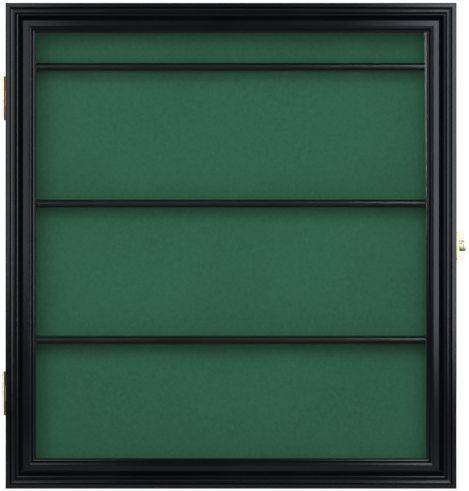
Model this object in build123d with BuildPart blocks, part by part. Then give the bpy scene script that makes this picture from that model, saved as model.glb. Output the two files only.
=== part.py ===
from build123d import *
import os
from math import atan, degrees

# Wall display case for golf balls: a mitred box with a felt back and three loose shelves, closed in front
# by a mitred, moulded door with a clear pane. The door hangs on two butt hinges on the left and is held
# by a key hasp on the right.
# Millimetres. X runs to the right, Y to the back and Z up; the door closes the front, towards -Y.
# The origin is the middle of the underside of the case, half way through its depth.

# Case boards
case_width = 520.0
case_height = 560.0
case_depth = 57.0
board = 12.5
back_rabbet_width = 5.0
back_rabbet_depth = 6.0
board_edge_round = 1.0

# Felt and back panel in the back rabbet
felt_thick = 1.5
panel_thick = 3.0
panel_fit = 0.5

# Golf balls and the shelves that carry them
ball_diameter = 42.67
slot_first = 66.25
slot_pitch = 52.5
slot_depth = 4.0
slot_play = 0.2
shelf_names = ("lower", "middle", "upper")
shelf_thick = 9.5
shelf_setback = 1.0
shelf_back_play = 0.5
shelf_end_play = 0.4
channel_play = 0.2
channel_depth = 1.2
channel_forward = 2.5

# Door: reveal is how much smaller it is than the case, all round
reveal = 0.8
door_gap = 0.5

# Door moulding, from the outer edge to the sight edge
fillet_width = 4.9
quirk_width = 1.3
flute_width = 6.3
crown_width = 2.9
cove_width = 4.9
band_width = 6.6
lip_width = 6.6

# Heights of the moulding above the back of the door
crown_height = 19.0
crown_outer_round = 0.8
crown_fall = 0.6
fillet_height = 17.6
quirk_floor = 15.9
flute_edge = 17.2
flute_floor = 16.6
cove_hollow = 0.4
band_height = 10.5
lip_height = 9.7
lip_fall = 1.1
lip_swell = 0.25
lip_quirk_depth = 0.5
outer_round = 1.2
band_round = 0.8
lip_round = 0.7

# Pane, its rabbet in the moulding and the strips behind it
pane_thick = 2.0
pane_rabbet_width = 6.5
pane_rabbet_depth = 6.2
pane_fit = 0.5
strip_thick = 3.8
strip_show = 1.3
strip_fit = 0.2
strip_round = 2.0

# V nails across the mitres of the door
v_nail_leg = 6.0
v_nail_thick = 0.7
v_nail_depth = 8.0
v_nail_places = (8.0, 19.0)

# Butt hinges
hinge_height = 50.8
hinge_offset = 170.0
hinge_leaf_thick = 1.0
hinge_leaf_reach = 10.5
hinge_axis_out = 1.8
hinge_barrel_radius = 1.85
hinge_pin_radius = 0.95
hinge_knuckles = 3
hinge_screw_spread = 31.0
hinge_screw_length = 9.0

# Fits of all pivots, and the gap between parts that pass each other
pivot_fit = 0.05
knuckle_gap = 0.1
passing_gap = 0.35

# Countersunk wood screws
screw_radius = 1.2
screw_head_radius = 2.2
screw_head_height = 1.0
screw_point = 2.0

# Hasp on the right edge of the door
hasp_sheet = 1.0
hasp_axis_out = 2.2
hasp_axis_back = 1.8
hasp_barrel_radius = 1.9
hasp_barrel_length = 31.5
hasp_middle_knuckle = 11.8
hasp_pin_radius = 0.9
hasp_leaf_reach = 12.5
hasp_leaf_round = 2.0
hasp_flap_overhang = 1.55
hasp_flap_length = 28.5
hasp_flap_rise = 6.5
hasp_flap_taper = 1.4
hasp_flap_corner = 1.0
hasp_bend = 1.6
hasp_window_half = 6.4
hasp_window_end = 25.2
hasp_screw_spread = 20.0
hasp_screw_reach = 7.7
hasp_screw_length = 10.0

# Lock housing and key plug on the right side of the case
lock_axis_reach = 15.0
lock_plate_thick = 1.4
lock_plate_height = 32.0
lock_plate_start = 4.2
lock_plate_length = 23.0
lock_plate_round = 2.5
lock_housing_radius = 6.0
lock_housing_height = 8.0
lock_floor = 1.2
lock_screw_spread = 23.0
lock_screw_length = 9.0
plug_radius = 3.5
plug_cap_gap = 0.2
plug_cap_thick = 2.6
plug_cap_length = 17.0
plug_cap_bevel = 0.5
keyway_width = 1.4
keyway_length = 5.0
keyway_depth = 4.0

# Sawtooth hangers on the back edge of the top board
hanger_length = 45.0
hanger_height = 6.6
hanger_sheet = 0.8
hanger_rise = 1.5
hanger_foot = 7.5
hanger_offset = 150.0
tooth_pitch = 2.5
tooth_depth = 1.2
tooth_count = 9

# Brads: flat wire with a T head; and the round nails of the hangers
brad_thick = 1.0
brad_width = 1.3
brad_head_width = 2.2
brad_head_height = 0.6
nail_radius = 0.6
nail_head_radius = 1.2
nail_head_height = 0.5
corner_brad_length = 22.0
corner_brad_inset = 6.0
corner_brad_spread = 34.0
panel_brad_length = 13.0
glazing_brad_length = 15.0
glazing_brad_height = 1.9
glazing_brad_spread = 150.0
hanger_nail_length = 10.0

# Worked out from the sizes above
case_front = -case_depth / 2
case_back = case_depth / 2
case_right = case_width / 2
case_middle = case_height / 2
inner_right = case_right - board
slot_room = case_height - board - ball_diameter - shelf_thick / 2 - slot_first
slot_count = 1 + int(slot_room / slot_pitch)
felt_front = case_back - back_rabbet_depth
door_width = case_width - 2 * reveal
door_height = case_height - 2 * reveal
door_right = door_width / 2
door_back = case_front - door_gap
moulding_width = (
    fillet_width + quirk_width + flute_width + crown_width + cove_width + band_width + lip_width
)
pane_rabbet_start = moulding_width - pane_rabbet_width
screw_angle = 2 * degrees(atan((screw_head_radius - screw_radius) / screw_head_height))
hinge_heights = {"upper": case_middle + hinge_offset, "lower": case_middle - hinge_offset}
hinge_axis_x = -case_right - hinge_axis_out
hinge_axis_y = case_front - door_gap / 2
hasp_axis_x = door_right + hasp_axis_out
hasp_axis_y = door_back - hasp_axis_back
hasp_flap_height = hasp_barrel_length + 2 * hasp_flap_overhang
lock_axis_y = hasp_axis_y + lock_axis_reach

os.makedirs("parts", exist_ok=True)


# Planes of a mitred frame. Local x of a stick's cross-section runs inwards from the outer edge of the
# frame and local y runs forwards from its back.
def section_plane(side, width, height, low, back):
    if side == "left":
        return Plane((-width / 2, back, low + height), x_dir=(1, 0, 0), z_dir=(0, 0, -1))
    if side == "right":
        return Plane((width / 2, back, low), x_dir=(-1, 0, 0), z_dir=(0, 0, 1))
    if side == "bottom":
        return Plane((-width / 2, back, low), x_dir=(0, 0, 1), z_dir=(1, 0, 0))
    return Plane((width / 2, back, low + height), x_dir=(0, 0, -1), z_dir=(-1, 0, 0))


def stick_length(side, width, height):
    return height if side in ("left", "right") else width


def mitre_planes(side, width, height, low):
    left, right, high = -width / 2, width / 2, low + height
    ends = {
        "left": (((left, 0, low), (-1, 0, 1)), ((left, 0, high), (-1, 0, -1))),
        "right": (((right, 0, low), (1, 0, 1)), ((right, 0, high), (1, 0, -1))),
        "bottom": (((left, 0, low), (1, 0, -1)), ((right, 0, low), (-1, 0, -1))),
        "top": (((left, 0, high), (1, 0, 1)), ((right, 0, high), (-1, 0, 1))),
    }
    return [Plane(origin, z_dir=normal) for origin, normal in ends[side]]


# Countersunk screws, their heads flush with the surface, and the holes for them
def screw_group(places, length):
    with BuildPart() as screws:
        with Locations(*places):
            Cone(
                screw_radius,
                screw_head_radius,
                screw_head_height,
                align=(Align.CENTER, Align.CENTER, Align.MAX),
            )
            Cylinder(
                screw_radius,
                length - screw_point,
                align=(Align.CENTER, Align.CENTER, Align.MAX),
            )
        tips = [place * Location((0, 0, screw_point - length)) for place in places]
        with Locations(*tips):
            Cone(
                0,
                screw_radius,
                screw_point,
                align=(Align.CENTER, Align.CENTER, Align.MAX),
            )
    return screws


# Brads, driven until the top of the head is level with the surface
def brad_group(places, length):
    with BuildPart() as brads:
        with Locations(*places):
            Box(
                brad_thick,
                brad_head_width,
                brad_head_height,
                align=(Align.CENTER, Align.CENTER, Align.MAX),
            )
            Box(
                brad_thick,
                brad_width,
                length,
                align=(Align.CENTER, Align.CENTER, Align.MAX),
            )
    return brads


# Nails: a round shank under a thin flat head that stands on the surface
def nail_group(places, length):
    with BuildPart() as nails:
        with Locations(*places):
            Cylinder(
                nail_head_radius,
                nail_head_height,
                align=(Align.CENTER, Align.CENTER, Align.MIN),
            )
            Cylinder(
                nail_radius,
                length,
                align=(Align.CENTER, Align.CENTER, Align.MAX),
            )
    return nails


def facing(x, y, z, normal, x_dir=(0, 0, 1)):
    return Plane((x, y, z), x_dir=x_dir, z_dir=normal).location


# Brads through the mitres of the case, driven from both sides
corner_brad_places = [
    facing(side * case_right, depth, height, (side, 0, 0))
    for side in (-1, 1)
    for height in (corner_brad_inset, case_height - corner_brad_inset)
    for depth in (-corner_brad_spread / 2, corner_brad_spread / 2)
]
with BuildPart() as corner_brads:
    add(brad_group(corner_brad_places, corner_brad_length))

# Brads that hold the back panel, in the webs between the shelf grooves and along top and bottom
panel_brad_x = inner_right + back_rabbet_width / 2
panel_brad_rows = (0, slot_count // 2, slot_count)
panel_brad_heights = [slot_first + slot_pitch * (row - 1 / 2) for row in panel_brad_rows]
panel_brad_places = [
    facing(side * panel_brad_x, felt_front + felt_thick + panel_thick, height, (0, 1, 0))
    for side in (-1, 1)
    for height in panel_brad_heights
] + [
    facing(side * case_right / 2, felt_front + felt_thick + panel_thick, height, (0, 1, 0))
    for side in (-1, 1)
    for height in (board - back_rabbet_width / 2, case_height - board + back_rabbet_width / 2)
]
with BuildPart() as panel_brads:
    add(brad_group(panel_brad_places, panel_brad_length))

# Nails of the hangers
hanger_centre = case_height - (board - back_rabbet_width) / 2
hanger_nail_places = [
    facing(
        side * hanger_offset + end * (hanger_length - hanger_foot) / 2,
        case_back + hanger_sheet,
        hanger_centre,
        (0, 1, 0),
    )
    for side in (-1, 1)
    for end in (-1, 1)
]
with BuildPart() as hanger_nails:
    add(nail_group(hanger_nail_places, hanger_nail_length))

# Screws of the butt hinges: two through each leaf, those of the case and of the door face to face
hinge_screw_x = -door_right + hinge_leaf_reach / 2
hinge_screw_heights = [
    centre + end * hinge_screw_spread / 2
    for centre in hinge_heights.values()
    for end in (-1, 1)
]
hinge_case_places = [facing(hinge_screw_x, case_front, z, (0, -1, 0)) for z in hinge_screw_heights]
hinge_door_places = [facing(hinge_screw_x, door_back, z, (0, 1, 0)) for z in hinge_screw_heights]
with BuildPart() as hinge_case_screws:
    add(screw_group(hinge_case_places, hinge_screw_length))
with BuildPart() as hinge_door_screws:
    add(screw_group(hinge_door_places, hinge_screw_length))

# Screws of the hasp leaf and of the lock plate
hasp_leaf_face = door_right + hasp_sheet
hasp_screw_places = [
    facing(
        hasp_leaf_face,
        hasp_axis_y - hasp_screw_reach,
        case_middle + end * hasp_screw_spread / 2,
        (1, 0, 0),
    )
    for end in (-1, 1)
]
lock_plate_face = case_right + lock_plate_thick
lock_screw_places = [
    facing(lock_plate_face, lock_axis_y, case_middle + end * lock_screw_spread / 2, (1, 0, 0))
    for end in (-1, 1)
]
with BuildPart() as hasp_screws:
    add(screw_group(hasp_screw_places, hasp_screw_length))
with BuildPart() as lock_screws:
    add(screw_group(lock_screw_places, lock_screw_length))


# Case boards: one section with the back rabbet, mitred at 45 degrees
def case_stick(side):
    with BuildPart() as stick:
        with BuildSketch(section_plane(side, case_width, case_height, 0, case_back)) as section:
            with BuildLine():
                Polyline(
                    (0, 0),
                    (board - back_rabbet_width, 0),
                    (board - back_rabbet_width, back_rabbet_depth),
                    (board, back_rabbet_depth),
                    (board, case_depth),
                    (0, case_depth),
                    close=True,
                )
            make_face()
            fillet(section.vertices().sort_by(Axis.X)[:2], radius=board_edge_round)
        extrude(amount=stick_length(side, case_width, case_height))
        for mitre in mitre_planes(side, case_width, case_height, 0):
            split(bisect_by=mitre, keep=Keep.TOP)
    return stick


# Grooves of one side board, open at the front edge and running back to the felt
def groove_places(side):
    lows = [slot_first - shelf_thick / 2 + slot_pitch * row for row in range(slot_count)]
    return [(side * inner_right, case_front, low) for low in lows]


def cut_grooves(side):
    outwards = Align.MAX if side < 0 else Align.MIN
    with Locations(*groove_places(side)):
        Box(
            slot_depth,
            felt_front - case_front,
            shelf_thick + slot_play,
            align=(outwards, Align.MIN, Align.MIN),
            mode=Mode.SUBTRACT,
        )


# Sockets in the wood for the leaves of the hinges
def leaf_recess(front_face, direction):
    with Locations(*[(-case_right, front_face, z) for z in hinge_heights.values()]):
        Box(
            case_right - door_right + hinge_leaf_reach,
            hinge_leaf_thick,
            hinge_height,
            align=(Align.MIN, Align.MIN if direction > 0 else Align.MAX, Align.CENTER),
            mode=Mode.SUBTRACT,
        )


# Trough that keeps the balls in line along the top of a shelf or of the bottom board
def cut_ball_channel(surface):
    radius = ball_diameter / 2 + channel_play
    with Locations((0, -channel_forward, surface + radius - channel_depth)):
        Cylinder(radius, 2 * inner_right, rotation=(0, 90, 0), mode=Mode.SUBTRACT)


def cut_pilot_holes(places, length):
    for place in places:
        with Locations(place):
            Cylinder(
                screw_radius,
                length,
                align=(Align.CENTER, Align.CENTER, Align.MAX),
                mode=Mode.SUBTRACT,
            )


with BuildPart() as case_side_left:
    add(case_stick("left"))
    cut_grooves(-1)
    leaf_recess(case_front, 1)
    cut_pilot_holes(hinge_case_places, hinge_screw_length)
    add(corner_brads, mode=Mode.SUBTRACT)
    add(panel_brads, mode=Mode.SUBTRACT)

with BuildPart() as case_side_right:
    add(case_stick("right"))
    cut_grooves(1)
    cut_pilot_holes(lock_screw_places, lock_screw_length)
    add(corner_brads, mode=Mode.SUBTRACT)
    add(panel_brads, mode=Mode.SUBTRACT)

with BuildPart() as case_top:
    add(case_stick("top"))
    add(corner_brads, mode=Mode.SUBTRACT)
    add(panel_brads, mode=Mode.SUBTRACT)
    add(hanger_nails, mode=Mode.SUBTRACT)

with BuildPart() as case_bottom:
    add(case_stick("bottom"))
    cut_ball_channel(board)
    add(corner_brads, mode=Mode.SUBTRACT)
    add(panel_brads, mode=Mode.SUBTRACT)

# Felt and the panel behind it, both cut to the rabbet
liner_width = 2 * (inner_right + back_rabbet_width - panel_fit)
liner_height = case_height - 2 * (board - back_rabbet_width + panel_fit)
with BuildPart() as felt_liner:
    with BuildSketch(Plane.XZ.offset(-felt_front)):
        with Locations((0, case_middle)):
            Rectangle(liner_width, liner_height)
    extrude(amount=-felt_thick)
    add(panel_brads, mode=Mode.SUBTRACT)

with BuildPart() as back_panel:
    with BuildSketch(Plane.XZ.offset(-felt_front - felt_thick)):
        with Locations((0, case_middle)):
            Rectangle(liner_width, liner_height)
    extrude(amount=-panel_thick)
    add(panel_brads, mode=Mode.SUBTRACT)

# Shelves: bullnosed front edge, square back, ball channel on top
shelf_length = 2 * (inner_right + slot_depth - shelf_end_play)
shelf_front = case_front + shelf_setback
shelf_back = felt_front - shelf_back_play
nose = shelf_thick / 2
slots_between = slot_count // len(shelf_names)
shelves = {}
for step, shelf_name in enumerate(shelf_names, start=1):
    underside = slot_first + slot_pitch * (step * slots_between - 1) - nose
    with BuildPart() as shelf:
        with BuildSketch(Plane.YZ.offset(-shelf_length / 2)):
            with BuildLine():
                Polyline(
                    (shelf_front + nose, underside),
                    (shelf_back, underside),
                    (shelf_back, underside + shelf_thick),
                    (shelf_front + nose, underside + shelf_thick),
                )
                ThreePointArc(
                    (shelf_front + nose, underside + shelf_thick),
                    (shelf_front, underside + nose),
                    (shelf_front + nose, underside),
                )
            make_face()
        extrude(amount=shelf_length)
        cut_ball_channel(underside + shelf_thick)
    shelves[shelf_name] = shelf


# Door moulding: fillet, quirk, flute and crown, then a deep cove down to a flat band and the sight lip,
# with the pane rabbet behind
def moulding_stick(side):
    quirk_end = fillet_width + quirk_width
    crown_start = quirk_end + flute_width
    cove_start = crown_start + crown_width
    band_start = cove_start + cove_width
    lip_start = band_start + band_width
    crown_top = crown_start + crown_outer_round
    cove_top = crown_height - crown_fall
    lip_top = lip_start + 2 * lip_quirk_depth
    lip_end = moulding_width - lip_round
    lip_edge = lip_height - lip_fall
    with BuildPart() as stick:
        with BuildSketch(section_plane(side, door_width, door_height, reveal, door_back)):
            with BuildLine():
                Line((0, 0), (0, fillet_height - outer_round))
                CenterArc((outer_round, fillet_height - outer_round), outer_round, 90, 90)
                Polyline(
                    (outer_round, fillet_height),
                    (fillet_width, fillet_height),
                    (fillet_width + quirk_width / 2, quirk_floor),
                    (quirk_end, flute_edge),
                )
                ThreePointArc(
                    (quirk_end, flute_edge),
                    (quirk_end + flute_width / 2, flute_floor),
                    (crown_start, flute_edge),
                )
                Line((crown_start, flute_edge), (crown_start, crown_height - crown_outer_round))
                CenterArc((crown_top, crown_height - crown_outer_round), crown_outer_round, 90, 90)
                TangentArc((crown_top, crown_height), (cove_start, cove_top), tangent=(1, 0))
                ThreePointArc(
                    (cove_start, cove_top),
                    (
                        (cove_start + band_start) / 2 - cove_hollow,
                        (cove_top + band_height) / 2 - cove_hollow,
                    ),
                    (band_start, band_height),
                )
                Line((band_start, band_height), (lip_start - band_round, band_height))
                CenterArc((lip_start - band_round, band_height - band_round), band_round, 0, 90)
                Polyline(
                    (lip_start, band_height - band_round),
                    (lip_start, lip_height - lip_quirk_depth),
                    (lip_start + lip_quirk_depth, lip_height - lip_quirk_depth),
                )
                CenterArc((lip_top, lip_height - lip_quirk_depth), lip_quirk_depth, 90, 90)
                ThreePointArc(
                    (lip_top, lip_height),
                    ((lip_top + lip_end) / 2, (lip_height + lip_edge) / 2 + lip_swell),
                    (lip_end, lip_edge),
                )
                CenterArc((lip_end, lip_edge - lip_round), lip_round, 0, 90)
                Polyline(
                    (moulding_width, lip_edge - lip_round),
                    (moulding_width, pane_rabbet_depth),
                    (pane_rabbet_start, pane_rabbet_depth),
                    (pane_rabbet_start, 0),
                    (0, 0),
                )
            make_face()
        extrude(amount=stick_length(side, door_width, door_height))
        for mitre in mitre_planes(side, door_width, door_height, reveal):
            split(bisect_by=mitre, keep=Keep.TOP)
    return stick


# V nails: two across each mitre, one leg in each stick
v_nail_corners = [
    (side, end, inset) for side in (-1, 1) for end in (-1, 1) for inset in v_nail_places
]
with BuildPart() as v_nails:
    with BuildSketch(Plane.XZ.offset(-door_back)):
        for side, end, inset in v_nail_corners:
            across = Align.MAX if side > 0 else Align.MIN
            along = Align.MAX if end > 0 else Align.MIN
            corner = (
                side * (door_right - inset),
                case_middle + end * (door_height / 2 - inset),
            )
            with Locations(corner):
                Rectangle(v_nail_leg, v_nail_thick, align=(across, along))
                Rectangle(v_nail_thick, v_nail_leg, align=(across, along))
    extrude(amount=v_nail_depth)

# Brads of the glazing strips, driven outwards into the moulding
glazing_face = moulding_width + strip_show
glazing_y = door_back - pane_rabbet_depth + pane_thick + glazing_brad_height
glazing_steps = (-glazing_brad_spread, 0, glazing_brad_spread)
glazing_brad_places = (
    [
        facing(side * (door_right - glazing_face), glazing_y, case_middle + step, (-side, 0, 0))
        for side in (-1, 1)
        for step in glazing_steps
    ]
    + [
        facing(step, glazing_y, reveal + glazing_face, (0, 0, 1), (1, 0, 0))
        for step in glazing_steps
    ]
    + [
        facing(step, glazing_y, reveal + door_height - glazing_face, (0, 0, -1), (1, 0, 0))
        for step in glazing_steps
    ]
)
with BuildPart() as glazing_brads:
    add(brad_group(glazing_brad_places, glazing_brad_length))

with BuildPart() as door_hinge_stile:
    add(moulding_stick("left"))
    leaf_recess(door_back, -1)
    cut_pilot_holes(hinge_door_places, hinge_screw_length)
    add(v_nails, mode=Mode.SUBTRACT)
    add(glazing_brads, mode=Mode.SUBTRACT)

with BuildPart() as door_latch_stile:
    add(moulding_stick("right"))
    cut_pilot_holes(hasp_screw_places, hasp_screw_length)
    add(v_nails, mode=Mode.SUBTRACT)
    add(glazing_brads, mode=Mode.SUBTRACT)

with BuildPart() as door_top_rail:
    add(moulding_stick("top"))
    add(v_nails, mode=Mode.SUBTRACT)
    add(glazing_brads, mode=Mode.SUBTRACT)

with BuildPart() as door_bottom_rail:
    add(moulding_stick("bottom"))
    add(v_nails, mode=Mode.SUBTRACT)
    add(glazing_brads, mode=Mode.SUBTRACT)

# Pane, laid against the front ledge of its rabbet
with BuildPart() as clear_pane:
    with BuildSketch(Plane.XZ.offset(-door_back + pane_rabbet_depth)):
        with Locations((0, case_middle)):
            Rectangle(
                door_width - 2 * (pane_rabbet_start + pane_fit),
                door_height - 2 * (pane_rabbet_start + pane_fit),
            )
    extrude(amount=-pane_thick)

# Glazing strips: mitred, quarter rounded on the inner back edge, a little proud of the sight edge
strip_start = pane_rabbet_start + strip_fit
strip_width = moulding_width + strip_show - strip_start
strip_frame_width = door_width - 2 * strip_start
strip_frame_height = door_height - 2 * strip_start
strip_frame_low = reveal + strip_start
strip_back = door_back - pane_rabbet_depth + pane_thick + strip_thick
glazing_strips = {}
for side in ("left", "right", "top", "bottom"):
    with BuildPart() as strip:
        with BuildSketch(
            section_plane(side, strip_frame_width, strip_frame_height, strip_frame_low, strip_back)
        ):
            with BuildLine():
                Polyline(
                    (strip_width - strip_round, 0),
                    (0, 0),
                    (0, strip_thick),
                    (strip_width, strip_thick),
                    (strip_width, strip_round),
                )
                CenterArc((strip_width - strip_round, strip_round), strip_round, -90, 90)
            make_face()
        extrude(amount=stick_length(side, strip_frame_width, strip_frame_height))
        for mitre in mitre_planes(side, strip_frame_width, strip_frame_height, strip_frame_low):
            split(bisect_by=mitre, keep=Keep.TOP)
        add(glazing_brads, mode=Mode.SUBTRACT)
    glazing_strips[side] = strip


# Butt hinges: plate and rolled knuckles, odd knuckles on the case leaf and even ones on the door leaf.
# outwards is 1 for the case leaf, which lies behind the pin, and -1 for the door leaf.
def hinge_leaf(centre, outwards, first_knuckle, places):
    knuckle = hinge_height / hinge_knuckles
    low = centre - hinge_height / 2
    plate_y = hinge_axis_y + outwards * door_gap / 2
    plate_side = Align.MIN if outwards > 0 else Align.MAX
    clear = hinge_barrel_radius + passing_gap
    leaf_end = -door_right + hinge_leaf_reach
    with BuildPart() as leaf:
        with BuildSketch(Plane.XY.offset(low)):
            with Locations((hinge_axis_x + clear, plate_y)):
                Rectangle(
                    leaf_end - hinge_axis_x - clear,
                    hinge_leaf_thick,
                    align=(Align.MIN, plate_side),
                )
        extrude(amount=hinge_height)
        for step in range(first_knuckle, hinge_knuckles, 2):
            with BuildSketch(Plane.XY.offset(low + step * knuckle + knuckle_gap)):
                with Locations((hinge_axis_x, hinge_axis_y)):
                    Circle(hinge_barrel_radius)
                with Locations((hinge_axis_x, plate_y)):
                    Rectangle(clear, hinge_leaf_thick, align=(Align.MIN, plate_side))
            extrude(amount=knuckle - 2 * knuckle_gap)
        with Locations((hinge_axis_x, hinge_axis_y, centre)):
            Cylinder(hinge_pin_radius + pivot_fit, hinge_height, mode=Mode.SUBTRACT)
        for place in places:
            with Locations(place):
                CounterSinkHole(
                    screw_radius,
                    screw_head_radius,
                    2 * hinge_leaf_thick,
                    screw_angle,
                )
    return leaf


hinge_parts = {}
for hinge_name, centre in hinge_heights.items():
    case_places = [place for place in hinge_case_places if abs(place.position.Z - centre) < hinge_height]
    door_places = [place for place in hinge_door_places if abs(place.position.Z - centre) < hinge_height]
    hinge_parts["hinge_case_leaf_" + hinge_name] = hinge_leaf(centre, 1, 0, case_places)
    hinge_parts["hinge_door_leaf_" + hinge_name] = hinge_leaf(centre, -1, 1, door_places)
    with BuildPart() as hinge_pin:
        with Locations((hinge_axis_x, hinge_axis_y, centre)):
            Cylinder(hinge_pin_radius, hinge_height)
    hinge_parts["hinge_pin_" + hinge_name] = hinge_pin

# Hasp leaf: plate on the door's edge and the middle knuckle
hasp_low = case_middle - hasp_barrel_length / 2
hasp_clear = hasp_barrel_radius + passing_gap
with BuildPart() as hasp_leaf:
    with BuildSketch(Plane.YZ.offset(door_right)) as hasp_leaf_face_sketch:
        with Locations((hasp_axis_y - hasp_leaf_reach, case_middle)):
            Rectangle(
                hasp_leaf_reach - hasp_clear,
                hasp_barrel_length,
                align=(Align.MIN, Align.CENTER),
            )
        fillet(
            hasp_leaf_face_sketch.vertices().sort_by(Axis.X)[:2],
            radius=hasp_leaf_round,
        )
    extrude(amount=hasp_sheet)
    with BuildSketch(Plane.XY.offset(case_middle - hasp_middle_knuckle / 2)):
        with Locations((hasp_axis_x, hasp_axis_y)):
            Circle(hasp_barrel_radius)
        with Locations((door_right, hasp_axis_y)):
            Rectangle(hasp_sheet, hasp_clear, align=(Align.MIN, Align.MAX))
    extrude(amount=hasp_middle_knuckle)
    with Locations((hasp_axis_x, hasp_axis_y, case_middle)):
        Cylinder(hasp_pin_radius + pivot_fit, hasp_barrel_length, mode=Mode.SUBTRACT)
    for place in hasp_screw_places:
        with Locations(place):
            CounterSinkHole(screw_radius, screw_head_radius, 2 * hasp_sheet, screw_angle)

with BuildPart() as hasp_pin:
    with Locations((hasp_axis_x, hasp_axis_y, case_middle)):
        Cylinder(hasp_pin_radius, hasp_barrel_length)

# Hasp flap: a yoke bent from sheet that rises in front of the lock and lies over it, a little narrower
# outwards, with a window from the barrel to past the lock, and two outer knuckles
flap_front = hasp_barrel_radius - hasp_sheet
flap_outer = hasp_flap_rise
bend_centre = (flap_outer - hasp_bend, flap_front + hasp_bend)
with BuildPart() as hasp_flap:
    with BuildSketch(Plane((hasp_axis_x, hasp_axis_y, case_middle - hasp_flap_height / 2))):
        with BuildLine():
            Line((0, flap_front), (flap_outer - hasp_bend, flap_front))
            CenterArc(bend_centre, hasp_bend, -90, 90)
            Polyline(
                (flap_outer, flap_front + hasp_bend),
                (flap_outer, hasp_flap_length),
                (flap_outer - hasp_sheet, hasp_flap_length),
                (flap_outer - hasp_sheet, flap_front + hasp_bend),
            )
            CenterArc(bend_centre, hasp_bend - hasp_sheet, -90, 90)
            Polyline(
                (flap_outer - hasp_bend, flap_front + hasp_sheet),
                (0, flap_front + hasp_sheet),
                (0, flap_front),
            )
        make_face()
    extrude(amount=hasp_flap_height)
    flap_front_plane = Plane((hasp_axis_x, hasp_axis_y, case_middle), x_dir=(1, 0, 0), z_dir=(0, -1, 0))
    with BuildSketch(flap_front_plane) as flap_outline:
        with BuildLine():
            Polyline(
                (0, -hasp_flap_height / 2),
                (flap_outer, hasp_flap_taper - hasp_flap_height / 2),
                (flap_outer, hasp_flap_height / 2 - hasp_flap_taper),
                (0, hasp_flap_height / 2),
                close=True,
            )
        make_face()
        fillet(flap_outline.vertices().sort_by(Axis.X)[-2:], radius=hasp_flap_corner)
    extrude(amount=hasp_flap_length, both=True, mode=Mode.INTERSECT)
    with BuildSketch(Plane.XY.offset(hasp_low)):
        with Locations((hasp_axis_x, hasp_axis_y)):
            Circle(hasp_barrel_radius)
    extrude(amount=hasp_barrel_length)
    with BuildSketch(Plane.YZ.offset(hasp_axis_x - hasp_clear)) as window:
        with Locations((hasp_axis_y - hasp_clear, case_middle)):
            Rectangle(
                hasp_clear + hasp_window_end,
                2 * hasp_window_half,
                align=(Align.MIN, Align.CENTER),
            )
        fillet(
            window.vertices().sort_by(Axis.X)[-2:],
            radius=hasp_window_half - passing_gap,
        )
    extrude(amount=hasp_clear + flap_outer + passing_gap, mode=Mode.SUBTRACT)
    with Locations((hasp_axis_x, hasp_axis_y, case_middle)):
        Cylinder(hasp_pin_radius + pivot_fit, hasp_barrel_length, mode=Mode.SUBTRACT)

# Lock body: screwed plate with a round housing, bored for the plug
with BuildPart() as lock_body:
    with BuildSketch(Plane.YZ.offset(case_right)):
        with Locations((hasp_axis_y + lock_plate_start + lock_plate_length / 2, case_middle)):
            RectangleRounded(lock_plate_length, lock_plate_height, lock_plate_round)
    extrude(amount=lock_plate_thick)
    with BuildSketch(Plane.YZ.offset(case_right)):
        with Locations((lock_axis_y, case_middle)):
            Circle(lock_housing_radius)
    extrude(amount=lock_housing_height)
    with BuildSketch(Plane.YZ.offset(case_right + lock_floor)):
        with Locations((lock_axis_y, case_middle)):
            Circle(plug_radius + pivot_fit)
    extrude(amount=lock_housing_height, mode=Mode.SUBTRACT)
    for place in lock_screw_places:
        with Locations(place):
            CounterSinkHole(screw_radius, screw_head_radius, 2 * lock_plate_thick, screw_angle)

# Key plug with its oval cap, which passes the window of the flap and holds it when turned
cap_low = case_right + lock_housing_height + plug_cap_gap
with BuildPart() as lock_plug:
    with BuildSketch(Plane.YZ.offset(case_right + lock_floor + plug_cap_gap)):
        with Locations((lock_axis_y, case_middle)):
            Circle(plug_radius)
    extrude(amount=lock_housing_height - lock_floor)
    with BuildSketch(Plane.YZ.offset(cap_low)):
        with Locations((lock_axis_y, case_middle)):
            SlotOverall(plug_cap_length, 2 * lock_housing_radius)
    extrude(amount=plug_cap_thick)
    chamfer(lock_plug.faces().sort_by(Axis.X)[-1].edges(), length=plug_cap_bevel)
    with BuildSketch(Plane.YZ.offset(cap_low + plug_cap_thick)):
        with Locations((lock_axis_y, case_middle)):
            SlotOverall(keyway_length, keyway_width)
    extrude(amount=-keyway_depth, mode=Mode.SUBTRACT)


# Sawtooth hanger: a strip with two nailed feet and a raised, toothed middle
def sawtooth_hanger(centre):
    half = hanger_length / 2
    foot = half - hanger_foot
    rise = foot - hanger_rise
    low = hanger_centre - hanger_height / 2
    with BuildPart() as hanger:
        with BuildSketch(Plane((centre, case_back, low))):
            with BuildLine():
                Polyline(
                    (-half, 0),
                    (-foot, 0),
                    (-rise, hanger_rise),
                    (rise, hanger_rise),
                    (foot, 0),
                    (half, 0),
                    (half, hanger_sheet),
                    (foot, hanger_sheet),
                    (rise, hanger_rise + hanger_sheet),
                    (-rise, hanger_rise + hanger_sheet),
                    (-foot, hanger_sheet),
                    (-half, hanger_sheet),
                    close=True,
                )
            make_face()
        extrude(amount=hanger_height)
        with BuildSketch(Plane.XZ.offset(-case_back)):
            for tooth in range(tooth_count):
                middle = centre + (tooth - (tooth_count - 1) / 2) * tooth_pitch
                with BuildLine():
                    Polyline(
                        (middle - tooth_pitch / 2, low),
                        (middle, low + tooth_depth),
                        (middle + tooth_pitch / 2, low),
                        close=True,
                    )
                make_face()
        extrude(amount=-2 * (hanger_rise + hanger_sheet), mode=Mode.SUBTRACT)
        add(hanger_nails, mode=Mode.SUBTRACT)
    return hanger


hanger_left = sawtooth_hanger(-hanger_offset)
hanger_right = sawtooth_hanger(hanger_offset)

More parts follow.
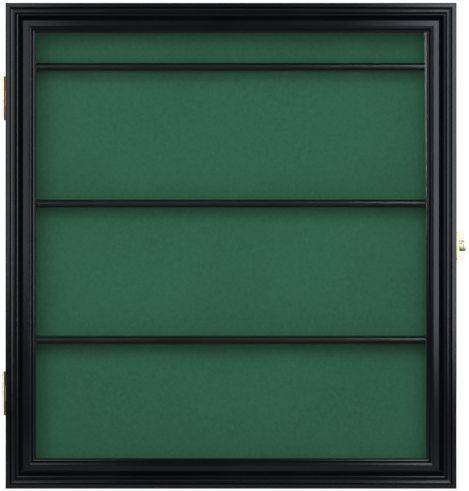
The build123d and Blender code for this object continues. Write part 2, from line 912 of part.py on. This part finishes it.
# Every piece under its name, written one file each
pieces = {
    "case_side_left": case_side_left,
    "case_side_right": case_side_right,
    "case_top": case_top,
    "case_bottom": case_bottom,
    "felt_liner": felt_liner,
    "back_panel": back_panel,
    "corner_brads": corner_brads,
    "panel_brads": panel_brads,
    "hanger_left": hanger_left,
    "hanger_right": hanger_right,
    "hanger_nails": hanger_nails,
    "hinge_case_screws": hinge_case_screws,
    "hinge_door_screws": hinge_door_screws,
    "door_hinge_stile": door_hinge_stile,
    "door_latch_stile": door_latch_stile,
    "door_top_rail": door_top_rail,
    "door_bottom_rail": door_bottom_rail,
    "v_nails": v_nails,
    "clear_pane": clear_pane,
    "glazing_brads": glazing_brads,
    "hasp_leaf": hasp_leaf,
    "hasp_pin": hasp_pin,
    "hasp_screws": hasp_screws,
    "hasp_flap": hasp_flap,
    "lock_body": lock_body,
    "lock_screws": lock_screws,
    "lock_plug": lock_plug,
}
pieces.update({"shelf_" + name: shelf for name, shelf in shelves.items()})
pieces.update({"glazing_strip_" + side: strip for side, strip in glazing_strips.items()})
pieces.update(hinge_parts)
for name, piece in pieces.items():
    piece.part.label = name
    export_step(piece.part, f"parts/{name}.step")
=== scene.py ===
# Golf ball display case: a black lacquered wall case with a glazed door on two brass
# hinges, a green felt back, three shelves and a small brass key hasp.
import math

import bpy
from mathutils import Matrix, Quaternion, Vector


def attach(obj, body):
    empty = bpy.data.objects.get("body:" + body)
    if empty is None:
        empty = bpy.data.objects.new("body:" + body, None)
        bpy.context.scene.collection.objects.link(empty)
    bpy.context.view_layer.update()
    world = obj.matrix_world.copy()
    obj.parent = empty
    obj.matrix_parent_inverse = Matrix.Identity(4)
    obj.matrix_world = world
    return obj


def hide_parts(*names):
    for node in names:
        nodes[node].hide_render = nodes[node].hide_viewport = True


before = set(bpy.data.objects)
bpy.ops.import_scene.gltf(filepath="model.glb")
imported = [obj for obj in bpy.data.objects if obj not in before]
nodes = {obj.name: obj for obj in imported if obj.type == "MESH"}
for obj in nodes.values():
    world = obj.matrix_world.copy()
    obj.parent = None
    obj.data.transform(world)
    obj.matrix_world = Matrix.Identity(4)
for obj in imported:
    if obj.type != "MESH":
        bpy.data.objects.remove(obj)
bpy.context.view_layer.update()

# Case boards: four mitred boards of close-grained wood, sprayed with satin black lacquer
# thin enough for a little grain and orange peel to show in its gloss. The two sides carry
# the shelf grooves, and all four have a rabbet for the back panel.

case_sides = ["case_side_left", "case_side_right"]
case_ends = ["case_top", "case_bottom"]
case_arris = 0.00035
grain_upright = (1.0, 1.0, 0.05)
grain_across = (0.05, 1.0, 1.0)


def feed(tree, socket, value):
    if isinstance(value, bpy.types.NodeSocket):
        tree.links.new(value, socket)
    else:
        socket.default_value = value


def plug(tree, node, **sockets):
    for name, value in sockets.items():
        feed(tree, node.inputs[name.replace("_", " ")], value)


def add_node(tree, kind, **sockets):
    made = tree.nodes.new(kind)
    plug(tree, made, **sockets)
    return made


def new_material(name):
    material = bpy.data.materials.new(name)
    material.use_nodes = True
    return material, material.node_tree, material.node_tree.nodes["Principled BSDF"]


def place_on(tree, stretch=(1.0, 1.0, 1.0), turn=(0.0, 0.0, 0.0)):
    coordinates = add_node(tree, "ShaderNodeTexCoord")
    mapping = add_node(
        tree,
        "ShaderNodeMapping",
        Vector=coordinates.outputs["Object"],
        Scale=stretch,
        Rotation=turn,
    )
    return mapping.outputs["Vector"]


def grain_noise(tree, place, scale, detail, distortion=0.0):
    made = add_node(
        tree,
        "ShaderNodeTexNoise",
        Vector=place,
        Scale=scale,
        Detail=detail,
        Distortion=distortion,
    )
    return made.outputs["Fac"]


def between(tree, value, low, high, start=0.3, end=0.7):
    made = add_node(
        tree,
        "ShaderNodeMapRange",
        Value=value,
        From_Min=start,
        From_Max=end,
        To_Min=low,
        To_Max=high,
    )
    return made.outputs["Result"]


def shades(tree, value, *stops):
    made = add_node(tree, "ShaderNodeValToRGB", Fac=value)
    points = made.color_ramp.elements
    while len(points) < len(stops):
        points.new(0.5)
    for point, (place, colour) in zip(points, stops):
        point.position = place
        point.color = (*colour, 1.0)
    return made.outputs["Color"]


def relief(tree, height, depth, under=None):
    made = add_node(
        tree, "ShaderNodeBump", Height=height, Distance=depth, Strength=1.0
    )
    if under is not None:
        plug(tree, made, Normal=under)
    return made.outputs["Normal"]


def black_lacquer(name, along, painted_veil_lift=1.0, gloss=(0.12, 0.15)):
    dark_black = (0.0022, 0.0022, 0.0027)
    pale_black = (0.0036, 0.0037, 0.0044)
    pore_depth = 0.0000004
    peel_depth = 0.000003
    material, tree, finish = new_material(name)
    grain = place_on(tree, stretch=along)
    whole = place_on(tree)
    pores = grain_noise(tree, grain, scale=700.0, detail=4.0, distortion=0.4)
    peel = grain_noise(tree, whole, scale=160.0, detail=1.0)
    cloud = grain_noise(tree, whole, scale=14.0, detail=3.0)
    # The black is multiplied by the lift. Above 1.0 this is painted reflection: a paler
    # black that stands in for the veil the pane's reflection lays over what is behind the
    # glass.
    black = shades(
        tree,
        cloud,
        (0.35, [level * painted_veil_lift for level in dark_black]),
        (0.65, [level * painted_veil_lift for level in pale_black]),
    )
    plug(
        tree,
        finish,
        Base_Color=black,
        Roughness=between(tree, cloud, *gloss),
        Normal=relief(tree, peel, peel_depth, relief(tree, pores, pore_depth)),
        Specular_IOR_Level=0.5,
        Specular_Tint=(0.88, 0.92, 1.0, 1.0),
        Coat_Weight=0.25,
        Coat_Roughness=0.10,
        Coat_IOR=1.45,
    )
    return material


def dress(names, material):
    for name in names:
        for slot in nodes[name].material_slots:
            slot.material = material


def soften(names, width):
    for name in names:
        piece = nodes[name]
        weld = piece.modifiers.new("weld", "WELD")
        weld.merge_threshold = 0.00001
        flatten = piece.modifiers.new("flatten", "DECIMATE")
        flatten.decimate_type = "DISSOLVE"
        flatten.angle_limit = math.radians(0.3)
        edge = piece.modifiers.new("arris", "BEVEL")
        edge.limit_method = "ANGLE"
        edge.angle_limit = math.radians(40.0)
        edge.width = width
        edge.segments = 2
        edge.use_clamp_overlap = True
        shading = piece.modifiers.new("shading", "WEIGHTED_NORMAL")
        shading.keep_sharp = False


lacquer_upright = black_lacquer("lacquer_upright", grain_upright)
lacquer_cross = black_lacquer("lacquer_cross", grain_across)
dress(case_sides, lacquer_upright)
dress(case_ends, lacquer_cross)
soften(case_sides + case_ends, case_arris)

# Back panel: a sheet of smooth brown hardboard let into the rabbet behind the felt.
# Its pressed face shows short wood fibres, darker specks and a faint waxy shine.

panel_arris = 0.0003
fibre_lie = (1.0, 1.0, 0.35)


def combine(tree, operation, *values, clamp=False):
    made = add_node(tree, "ShaderNodeMath")
    made.operation = operation
    made.use_clamp = clamp
    for socket, value in zip(made.inputs, values):
        feed(tree, socket, value)
    return made.outputs[0]


def brown_hardboard(name):
    fibre_depth = 0.00003
    material, tree, finish = new_material(name)
    pressed = place_on(tree, fibre_lie)
    fibres = grain_noise(tree, pressed, scale=900.0, detail=6.0, distortion=1.2)
    specks = grain_noise(tree, place_on(tree), scale=260.0, detail=3.0)
    cloud = grain_noise(tree, place_on(tree), scale=8.0, detail=4.0)
    speckled = between(tree, specks, 0.55, 1.1, start=0.3, end=0.5)
    mixed = combine(tree, "MULTIPLY", fibres, speckled)
    toned = combine(tree, "ADD", mixed, between(tree, cloud, -0.06, 0.06))
    brown = shades(
        tree,
        toned,
        (0.20, (0.045, 0.022, 0.011)),
        (0.45, (0.130, 0.068, 0.032)),
        (0.70, (0.225, 0.125, 0.062)),
    )
    plug(
        tree,
        finish,
        Base_Color=brown,
        Roughness=between(tree, fibres, 0.42, 0.62),
        Normal=relief(tree, fibres, fibre_depth),
    )
    return material


dress(["back_panel"], brown_hardboard("hardboard_brown"))
soften(["back_panel"], panel_arris)

# Felt liner: one sheet of green wool felt, cut to the rabbet and pinched between the
# boards and the panel. It is pressed flat, with a faint swell, a matted nap and patches
# that are slightly lighter or darker.

felt_width = 0.504
felt_height = 0.544
felt_thick = 0.0011
felt_middle = (0.0, 0.02325, 0.280)
felt_columns = 112
felt_rows = 121
nap_lie = (1.0, 1.0, 0.45)
nap_turn = (0.0, 0.6, 0.0)


def green_felt(name):
    tuft_share = 0.30
    fibre_depth = 0.00010
    tuft_depth = 0.00010
    material, tree, finish = new_material(name)
    whole = place_on(tree)
    nap = place_on(tree, nap_lie, nap_turn)
    fibres = grain_noise(tree, nap, scale=1400.0, detail=5.0, distortion=2.5)
    tufts = grain_noise(tree, whole, scale=330.0, detail=3.0, distortion=0.8)
    patches = grain_noise(tree, whole, scale=9.0, detail=2.0)
    thread = between(tree, fibres, 0.20, 0.50)
    matted = combine(tree, "MULTIPLY_ADD", tufts, tuft_share, thread)
    toned = combine(tree, "ADD", matted, between(tree, patches, -0.03, 0.03))
    green = shades(
        tree,
        toned,
        (0.30, (0.030, 0.122, 0.066)),
        (0.52, (0.047, 0.178, 0.098)),
        (0.75, (0.068, 0.232, 0.132)),
    )
    plug(
        tree,
        finish,
        Base_Color=green,
        Roughness=0.95,
        Specular_IOR_Level=0.15,
        Sheen_Weight=0.25,
        Sheen_Roughness=0.6,
        Sheen_Tint=(0.45, 0.85, 0.60, 1.0),
        Normal=relief(tree, tufts, tuft_depth, relief(tree, fibres, fibre_depth)),
    )
    return material


def apply_modifiers(piece):
    bpy.ops.object.select_all(action="DESELECT")
    piece.select_set(True)
    bpy.context.view_layer.objects.active = piece
    for modifier in list(piece.modifiers):
        bpy.ops.object.modifier_apply(modifier=modifier.name)


bpy.ops.object.select_all(action="DESELECT")
bpy.ops.mesh.primitive_grid_add(
    x_subdivisions=felt_columns,
    y_subdivisions=felt_rows,
    size=1.0,
    location=felt_middle,
    rotation=(math.pi / 2, 0.0, 0.0),
)
felt = bpy.context.object
felt.name = "felt_back"
felt.scale = (felt_width, felt_height, 1.0)
bpy.ops.object.transform_apply(location=True, rotation=True, scale=True)
swell = felt.modifiers.new("swell", "DISPLACE")
swell.texture = bpy.data.textures.new("felt_swell", "CLOUDS")
swell.texture.noise_scale = 0.035
swell.texture.noise_depth = 3
swell.texture_coords = "LOCAL"
swell.strength = 0.00035
thicken = felt.modifiers.new("thickness", "SOLIDIFY")
thicken.thickness = felt_thick
thicken.offset = 0.0
apply_modifiers(felt)
bpy.ops.object.shade_smooth_by_angle(angle=math.radians(40.0))
felt.data.materials.append(green_felt("felt_green"))
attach(felt, "case")
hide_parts("felt_liner")

# Shelves: three bullnosed boards in black lacquer, which slide into the side grooves.
# A shallow channel along the top of each keeps the balls in line. The lacquer is a little
# rougher than that of the case, and its black is painted twice as pale. That paleness is
# painted reflection, standing in for the faint veil that the pane's reflection lays over
# the shelves.

shelf_names = ["shelf_lower", "shelf_middle", "shelf_upper"]
shelf_painted_veil_lift = 2.0
shelf_gloss = (0.14, 0.17)
shelf_arris = 0.0003
# The shelf black is painted pale here as painted reflection of the pane's veil, not as a
# paler paint.
lacquer_shelf = black_lacquer("lacquer_shelf", grain_across, shelf_painted_veil_lift, shelf_gloss)
dress(shelf_names, lacquer_shelf)
soften(shelf_names, shelf_arris)

# Brads and hangers: steel wire brads through the mitres and round the back panel, and
# two sawtooth hangers of zinc-plated steel on the back edge of the top board, each held
# by two nails.

hangers = ["hanger_left", "hanger_right"]
hanger_arris = 0.0001
brushed = (1.0, 1.0, 0.08)


def worn_metal(name, bright, dull, roughness):
    line_depth = 0.000004
    stain_depth = 0.00001
    material, tree, finish = new_material(name)
    lines = grain_noise(tree, place_on(tree, brushed), scale=2600.0, detail=3.0)
    stains = grain_noise(tree, place_on(tree), scale=160.0, detail=4.0, distortion=0.5)
    plug(
        tree,
        finish,
        Base_Color=shades(tree, stains, (0.36, bright), (0.66, dull)),
        Metallic=1.0,
        Roughness=between(tree, stains, *roughness),
        Normal=relief(tree, stains, stain_depth, relief(tree, lines, line_depth)),
    )
    return material


bright_wire = worn_metal(
    "steel_wire", (0.50, 0.50, 0.52), (0.26, 0.25, 0.25), roughness=(0.30, 0.50)
)
zinc_plate = worn_metal(
    "zinc_plated_steel", (0.62, 0.61, 0.58), (0.36, 0.35, 0.33), roughness=(0.28, 0.46)
)
dress(["corner_brads", "panel_brads", "hanger_nails"], bright_wire)
dress(hangers, zinc_plate)
soften(hangers, hanger_arris)

# Butt hinges: two small hinges of satin brass with a little tarnish, their leaves let
# into the case and the door on the left. Each has three knuckles on a plain brass pin.

brass = worn_metal(
    "brass_satin", (0.93, 0.85, 0.62), (0.84, 0.73, 0.47), roughness=(0.28, 0.38)
)
sheet_brass_arris = 0.00012
hinge_parts = [
    f"hinge_{part}_{place}"
    for part in ("case_leaf", "door_leaf", "pin")
    for place in ("upper", "lower")
]
dress(hinge_parts, brass)
soften(hinge_parts, sheet_brass_arris)

# Screws: slotted countersunk brass wood screws, two through each hinge leaf, two in the
# hasp leaf and two in the lock plate, driven flush, each slot left where the last turn
# put it.

screw_head_radius = 0.0022
screw_head_height = 0.0010
screw_shank_radius = 0.0012
screw_point = 0.0020
slot_width = 0.00055
slot_depth = 0.00050
slot_arris = 0.00006
hinge_screw_length = 0.009
hinge_screw_x = -0.25395
hinge_screw_heights = [0.0945, 0.1255, 0.4345, 0.4655]
case_leaf_face = -0.0285
door_leaf_face = -0.0290
hasp_screw_length = 0.010
hasp_screw_places = [(0.2602, -0.0385, 0.270), (0.2602, -0.0385, 0.290)]
lock_screw_length = 0.009
lock_screw_places = [(0.2614, -0.0158, 0.2685), (0.2614, -0.0158, 0.2915)]
to_front = (0.0, -1.0, 0.0)
to_back = (0.0, 1.0, 0.0)
to_right = (1.0, 0.0, 0.0)


def select_faces(mesh, chosen):
    for edge in mesh.edges:
        edge.select = False
    for vertex in mesh.vertices:
        vertex.select = False
    for face in mesh.polygons:
        face.select = chosen(face)
    bpy.ops.object.mode_set(mode="EDIT")
    bpy.ops.mesh.select_mode(type="FACE")


def extrude_along_z(reach):
    bpy.ops.mesh.extrude_region_move(
        TRANSFORM_OT_translate={"value": (0.0, 0.0, reach)}
    )


def make_screw(length):
    bpy.ops.object.select_all(action="DESELECT")
    bpy.ops.mesh.primitive_cone_add(
        vertices=32,
        radius1=screw_shank_radius,
        radius2=screw_head_radius,
        depth=screw_head_height,
        location=(0.0, 0.0, -screw_head_height / 2),
    )
    screw = bpy.context.object
    bpy.ops.object.transform_apply(location=True, rotation=True, scale=True)
    select_faces(screw.data, lambda face: face.normal.z < -0.9)
    shank = length - screw_head_height - screw_point
    extrude_along_z(-shank)
    extrude_along_z(-screw_point)
    bpy.ops.mesh.merge(type="CENTER")
    bpy.ops.object.mode_set(mode="OBJECT")
    bpy.ops.object.select_all(action="DESELECT")
    bpy.ops.mesh.primitive_cube_add(size=1.0)
    cutter = bpy.context.object
    cutter.data.transform(
        Matrix.Diagonal((4 * screw_head_radius, slot_width, 2 * slot_depth, 1.0))
    )
    slot = screw.modifiers.new("slot", "BOOLEAN")
    slot.operation = "DIFFERENCE"
    slot.solver = "EXACT"
    slot.object = cutter
    edge = screw.modifiers.new("edge", "BEVEL")
    edge.width = slot_arris
    edge.segments = 2
    edge.limit_method = "ANGLE"
    edge.angle_limit = math.radians(35.0)
    apply_modifiers(screw)
    bpy.data.objects.remove(cutter)
    return screw


def drive_screws(name, body, node, length, outwards, places, turns):
    screw = make_screw(length)
    facing = Vector(outwards).to_track_quat("Z", "Y").to_matrix().to_4x4()
    copies = []
    for place, turn in zip(places, turns):
        copy = bpy.data.objects.new(name, screw.data.copy())
        turned = Matrix.Rotation(math.radians(turn), 4, "Z")
        copy.data.transform(Matrix.Translation(place) @ facing @ turned)
        bpy.context.collection.objects.link(copy)
        copies.append(copy)
    bpy.data.objects.remove(screw)
    bpy.ops.object.select_all(action="DESELECT")
    for copy in copies:
        copy.select_set(True)
    bpy.context.view_layer.objects.active = copies[0]
    bpy.ops.object.join()
    screws = bpy.context.object
    screws.name = name
    bpy.ops.object.shade_smooth_by_angle(angle=math.radians(35.0))
    screws.data.materials.append(brass)
    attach(screws, body)
    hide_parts(node)


drive_screws(
    "hinge_case_screws_slotted",
    "case",
    "hinge_case_screws",
    hinge_screw_length,
    to_front,
    [(hinge_screw_x, case_leaf_face, height) for height in hinge_screw_heights],
    turns=(12.0, 74.0, 141.0, 33.0),
)
drive_screws(
    "hinge_door_screws_slotted",
    "door",
    "hinge_door_screws",
    hinge_screw_length,
    to_back,
    [(hinge_screw_x, door_leaf_face, height) for height in hinge_screw_heights],
    turns=(95.0, 20.0, 160.0, 58.0),
)
drive_screws(
    "hasp_screws_slotted",
    "door",
    "hasp_screws",
    hasp_screw_length,
    to_right,
    hasp_screw_places,
    turns=(28.0, 102.0),
)
drive_screws(
    "lock_screws_slotted",
    "case",
    "lock_screws",
    lock_screw_length,
    to_right,
    lock_screw_places,
    turns=(83.0, 41.0),
)

# Door frame: four lengths of one moulding, mitred and joined with steel nails from
# behind. A flute, a crown, a cove, a flat band and a small lip run round it under the
# black lacquer.

door_stiles = ["door_hinge_stile", "door_latch_stile"]
door_rails = ["door_top_rail", "door_bottom_rail"]
door_arris = 0.00025
dress(door_stiles, lacquer_upright)
dress(door_rails, lacquer_cross)
soften(door_stiles + door_rails, door_arris)
dress(["v_nails"], bright_wire)

# Sight slips: the inner lip of the moulding, given its full shape by a thin strip laid
# over it along each side of the opening, in the same lacquer. Its face falls in two
# easy steps towards the pane, and the four lengths meet in mitres.

door_half_width = 0.2592
door_half_height = 0.2792
door_middle_z = 0.280
door_back_y = -0.029
slip_section = [
    (0.02695, 0.00920),
    (0.02695, 0.01055),
    (0.02930, 0.01029),
    (0.03170, 0.00925),
    (0.03245, 0.00914),
    (0.03310, 0.00910),
    (0.03375, 0.00850),
    (0.03375, 0.00780),
]
slip_arris = 0.00016

bpy.ops.object.select_all(action="DESELECT")
bpy.ops.mesh.primitive_circle_add(
    vertices=len(slip_section), radius=0.01, fill_type="NGON"
)
slip_stick = bpy.context.object
for corner, (across, up) in zip(slip_stick.data.vertices, slip_section):
    corner.co = (across, up, -door_half_height)
bpy.ops.object.mode_set(mode="EDIT")
bpy.ops.mesh.select_all(action="SELECT")
extrude_along_z(2 * door_half_height)
bpy.ops.object.mode_set(mode="OBJECT")
arris = slip_stick.modifiers.new("arris", "BEVEL")
arris.width = slip_arris
arris.segments = 3
arris.limit_method = "ANGLE"
arris.angle_limit = math.radians(10.0)
apply_modifiers(slip_stick)


def lay_slip(name, half_run, place, material):
    slip = bpy.data.objects.new(name, slip_stick.data.copy())
    bpy.context.collection.objects.link(slip)
    bpy.ops.object.select_all(action="DESELECT")
    slip.select_set(True)
    bpy.context.view_layer.objects.active = slip
    bpy.ops.object.mode_set(mode="EDIT")
    for end in (-1.0, 1.0):
        bpy.ops.mesh.select_all(action="SELECT")
        bpy.ops.mesh.bisect(
            plane_co=(0.0, 0.0, end * half_run),
            plane_no=(1.0, 0.0, end),
            use_fill=True,
            clear_outer=True,
        )
    bpy.ops.object.mode_set(mode="OBJECT")
    slip.data.transform(Matrix(place))
    bpy.ops.object.mode_set(mode="EDIT")
    bpy.ops.mesh.select_all(action="SELECT")
    bpy.ops.mesh.normals_make_consistent(inside=False)
    bpy.ops.object.mode_set(mode="OBJECT")
    bpy.ops.object.shade_smooth_by_angle(angle=math.radians(30.0))
    shading = slip.modifiers.new("shading", "WEIGHTED_NORMAL")
    shading.keep_sharp = False
    slip.data.materials.append(material)
    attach(slip, "door")


out_from_door = (0.0, -1.0, 0.0, door_back_y)
unscaled = (0.0, 0.0, 0.0, 1.0)
for name, side in (("sight_slip_left", 1.0), ("sight_slip_right", -1.0)):
    inwards = (side, 0.0, 0.0, -side * door_half_width)
    upwards = (0.0, 0.0, 1.0, door_middle_z)
    place = (inwards, out_from_door, upwards, unscaled)
    lay_slip(name, door_half_height, place, lacquer_upright)
for name, side in (("sight_slip_bottom", 1.0), ("sight_slip_top", -1.0)):
    sideways = (0.0, 0.0, 1.0, 0.0)
    inwards = (side, 0.0, 0.0, door_middle_z - side * door_half_height)
    place = (sideways, out_from_door, inwards, unscaled)
    lay_slip(name, door_half_width, place, lacquer_cross)
bpy.data.objects.remove(slip_stick)

# Glazing: one sheet of clear picture glass in the door's rabbet, held from behind by
# four strips of dark stained wood that are pinned with small brads.


def clear_glass(name):
    material, tree, finish = new_material(name)
    tree.nodes.remove(finish)
    film = grain_noise(tree, place_on(tree), scale=6.0, detail=6.0, distortion=0.4)
    tint = shades(
        tree, film, (0.30, (0.955, 0.972, 0.962)), (0.70, (0.968, 0.984, 0.975))
    )
    clear = add_node(tree, "ShaderNodeBsdfTransparent", Color=tint)
    gloss = add_node(
        tree, "ShaderNodeBsdfGlossy", Color=(0.90, 0.97, 1.0, 1.0), Roughness=0.0
    )
    facing = add_node(tree, "ShaderNodeFresnel", IOR=1.5)
    side = add_node(tree, "ShaderNodeNewGeometry")
    front = between(tree, side.outputs["Backfacing"], 0.9, 0.0, start=0.0, end=1.0)
    mirrored = combine(tree, "MULTIPLY", facing.outputs["Fac"], front, clamp=True)
    pane = add_node(tree, "ShaderNodeMixShader", Fac=mirrored)
    feed(tree, pane.inputs[1], clear.outputs["BSDF"])
    feed(tree, pane.inputs[2], gloss.outputs["BSDF"])
    plug(tree, tree.nodes["Material Output"], Surface=pane.outputs["Shader"])
    return material


def stained_bead(name, along):
    grain_depth = 0.000015
    material, tree, finish = new_material(name)
    grain = grain_noise(
        tree, place_on(tree, along), scale=600.0, detail=5.0, distortion=0.6
    )
    tone = shades(
        tree, grain, (0.30, (0.006, 0.008, 0.008)), (0.70, (0.016, 0.022, 0.020))
    )
    plug(
        tree,
        finish,
        Base_Color=tone,
        Roughness=between(tree, grain, 0.28, 0.42),
        Normal=relief(tree, grain, grain_depth),
    )
    return material


pane_glass = clear_glass("pane_glass")
bead_upright = stained_bead("bead_upright", grain_upright)
bead_cross = stained_bead("bead_cross", grain_across)
dress(["clear_pane"], pane_glass)
dress(["glazing_strip_left", "glazing_strip_right"], bead_upright)
dress(["glazing_strip_top", "glazing_strip_bottom"], bead_cross)
dress(["glazing_brads"], bright_wire)

# Hasp: a brass leaf screwed to the door's right edge, a flap bent from brass sheet with
# a window that closes round the lock, and the plain pin that joins them.

hasp_parts = ["hasp_leaf", "hasp_pin", "hasp_flap"]
dress(hasp_parts, brass)
soften(hasp_parts, sheet_brass_arris)

# Lock: a round brass housing on a screwed plate, with a brass key plug under an oval
# turn cap that passes the flap's window. The keyway is cut in through the cap.

lock_parts = ["lock_body", "lock_plug"]
lock_arris = 0.00015
dress(lock_parts, brass)
soften(lock_parts, lock_arris)

# Floor and light: a pale floor, a white surround and soft lamps round the case. Two tall
# lamps a side show in the gloss of the lacquer, and a wide one in front only fills in.
# Others light only the shelves and the brass, the brass alone, or the outer boards.

floor_radius = 14.0
floor_level = -0.0003
floor_glow = 0.9
sky_in_gloss = 0.07
sky_on_matt = 0.25
sky_seen = 1.1

bpy.ops.object.select_all(action="DESELECT")
bpy.ops.mesh.primitive_circle_add(
    vertices=128,
    radius=floor_radius,
    fill_type="NGON",
    location=(0.0, 0.0, floor_level),
)
floor = bpy.context.object
floor.name = "floor"
floor.visible_glossy = False
floor.visible_shadow = False
floor_paint, floor_tree, floor_finish = new_material("floor_pale")
floor_rays = add_node(floor_tree, "ShaderNodeLightPath")
floor_seen = floor_rays.outputs["Is Camera Ray"]
glow = between(floor_tree, floor_seen, 0.0, floor_glow, start=0.0, end=1.0)
plug(
    floor_tree,
    floor_finish,
    Base_Color=(0.80, 0.80, 0.80, 1.0),
    Roughness=0.9,
    Specular_IOR_Level=0.1,
    Emission_Color=(1.0, 1.0, 1.0, 1.0),
    Emission_Strength=glow,
)
floor.data.materials.append(floor_paint)

world = bpy.data.worlds.new("studio")
bpy.context.scene.world = world
world.use_nodes = True
sky = world.node_tree
sky_rays = add_node(sky, "ShaderNodeLightPath")
matt_ray = sky_rays.outputs["Is Diffuse Ray"]
camera_ray = sky_rays.outputs["Is Camera Ray"]
soft_part = between(sky, matt_ray, sky_in_gloss, sky_on_matt, start=0.0, end=1.0)
white_part = between(sky, camera_ray, 0.0, sky_seen, start=0.0, end=1.0)
plug(
    sky,
    sky.nodes["Background"],
    Color=(0.94, 0.97, 1.0, 1.0),
    Strength=combine(sky, "ADD", soft_part, white_part),
)


def soft_lamp(name, place, size, watts, aim=None, gloss=True, roll=0.0):
    lamp = bpy.data.lights.new(name, "AREA")
    lamp.shape = "RECTANGLE"
    lamp.size, lamp.size_y = size
    lamp.energy = watts
    stand = bpy.data.objects.new(name, lamp)
    stand.location = place
    aim = aim or (place[0], 0.0, place[2])
    facing = (Vector(aim) - Vector(place)).to_track_quat("-Z", "Y")
    rolled = facing @ Quaternion((0.0, 0.0, 1.0), math.radians(roll))
    stand.rotation_euler = rolled.to_euler()
    stand.visible_camera = False
    stand.visible_glossy = gloss
    stand.visible_transmission = gloss
    bpy.context.collection.objects.link(stand)
    return stand


front_middle = (0.0, 0.0, 0.28)
case_middle = (0.0, 0.1, 0.28)
behind_hasp = (0.26, 0.31, 0.28)
stand_y = -2.65
soft_lamp("lamp_right", (0.4368, stand_y, 0.725), (0.24, 1.25), 3.1, roll=0.6)
soft_lamp("lamp_right_far", (0.88, stand_y, 0.725), (0.64, 1.25), 4.0)
soft_lamp("lamp_left", (-0.4425, stand_y, 0.775), (0.235, 1.15), 1.14)
soft_lamp("lamp_left_far", (-0.88, stand_y, 0.775), (0.64, 1.15), 1.04)
soft_lamp("lamp_low", (0.0, stand_y, -0.31), (2.0, 0.42), 1.1)
soft_lamp("lamp_fill", (-0.30, -3.0, 0.80), (2.2, 1.4), 45.0, front_middle, gloss=False)
soft_lamp("lamp_back_right", (2.4, 2.8, 1.5), (2.2, 2.2), 25.0, front_middle)
soft_lamp("lamp_back_left", (-2.4, 2.8, 1.5), (2.2, 2.2), 25.0, front_middle)


def lights_only(lamps, pieces, name):
    lit = bpy.data.collections.new(name)
    for piece in pieces:
        lit.objects.link(piece)
    for lamp in lamps:
        lamp.light_linking.receiver_collection = lit


brass_pieces = [
    piece
    for piece in bpy.data.objects
    if piece.type == "MESH" and brass.name in piece.data.materials
]
shelves = [nodes[name] for name in shelf_names]
overhead_lamps = [
    soft_lamp("lamp_over_right", (1.15, stand_y, 2.2), (1.8, 1.6), 36.0),
    soft_lamp("lamp_over_left", (-0.9, stand_y, 2.2), (2.0, 1.6), 3.0),
]
lights_only(overhead_lamps, brass_pieces + shelves, "shelves_and_brass")
brass_cards = [
    soft_lamp("card_left", (-1.9, -1.4, 0.45), (2.8, 2.4), 38.0, front_middle),
    soft_lamp("card_right", (1.9, -1.4, 0.45), (2.8, 2.4), 38.0, front_middle),
    soft_lamp("card_low", (0.26, -1.8, -1.3), (2.2, 2.6), 20.0, front_middle),
    soft_lamp("card_high", (0.26, -1.2, 1.9), (2.2, 1.6), 16.0, front_middle),
    soft_lamp("card_over", (0.26, 0.3, 2.6), (2.4, 3.4), 36.0, behind_hasp),
]
lights_only(brass_cards, brass_pieces, "brass_fittings")
board_names = case_sides + case_ends + door_stiles + door_rails
outer_boards = [nodes[name] for name in board_names]
side_lamps = [
    soft_lamp("lamp_side_left", (-3.4, 1.0, 0.9), (2.6, 2.2), 11.0, case_middle),
    soft_lamp("lamp_side_right", (3.4, 1.0, 0.9), (2.6, 2.2), 11.0, case_middle),
    soft_lamp("lamp_top", (0.0, 1.6, 3.4), (2.6, 1.6), 9.0, case_middle),
]
lights_only(side_lamps, outer_boards, "outer_boards")

# Camera: level with the middle of the case and square to its front. It stands far back
# with a long lens, so that hardly any perspective shows.

camera_data = bpy.data.cameras.new("camera")
camera_data.sensor_width = 36.0
camera_data.lens = 382.96
camera_data.clip_end = 60.0
camera = bpy.data.objects.new("camera", camera_data)
camera.location = (0.0040, -6.048, 0.2803)
camera.rotation_euler = (math.pi / 2, 0.0, 0.0)
bpy.context.collection.objects.link(camera)
bpy.context.scene.camera = camera
bpy.context.scene.view_settings.view_transform = "Standard"
